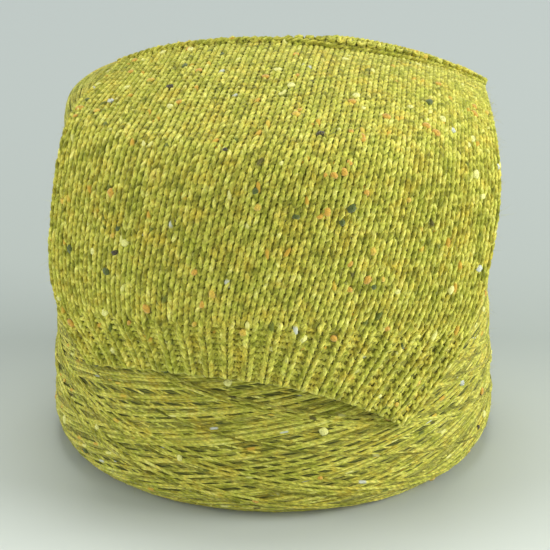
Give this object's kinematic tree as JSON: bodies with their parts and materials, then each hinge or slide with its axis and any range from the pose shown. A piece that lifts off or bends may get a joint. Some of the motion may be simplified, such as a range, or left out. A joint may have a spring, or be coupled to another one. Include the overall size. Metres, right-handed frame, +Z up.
{
  "type": "cone of merino yarn with a knitted sample draped over it",
  "caption": "Cone package of tweed merino yarn standing on its large end, with a ribbed stockinette sample of the same yarn draped over the top and front.",
  "frame": {"origin": "Centre of the package's flat large end, on the surface that it stands on", "axes": "+Z is up along the axis of the cone; -Y is the front, where the sample hangs with its ribbed hem down; +X is to the right seen from the front, where the sample's upper corner sticks out"},
  "size_m": [0.186, 0.1961, 0.1719],
  "materials": {
    "wound_yarn": "matte",
    "knitted_wool": "matte"
  },
  "bodies": {
    "root": {"yarn_package": "wound_yarn", "knit_sample": "knitted_wool"}
  },
  "joints": []
}
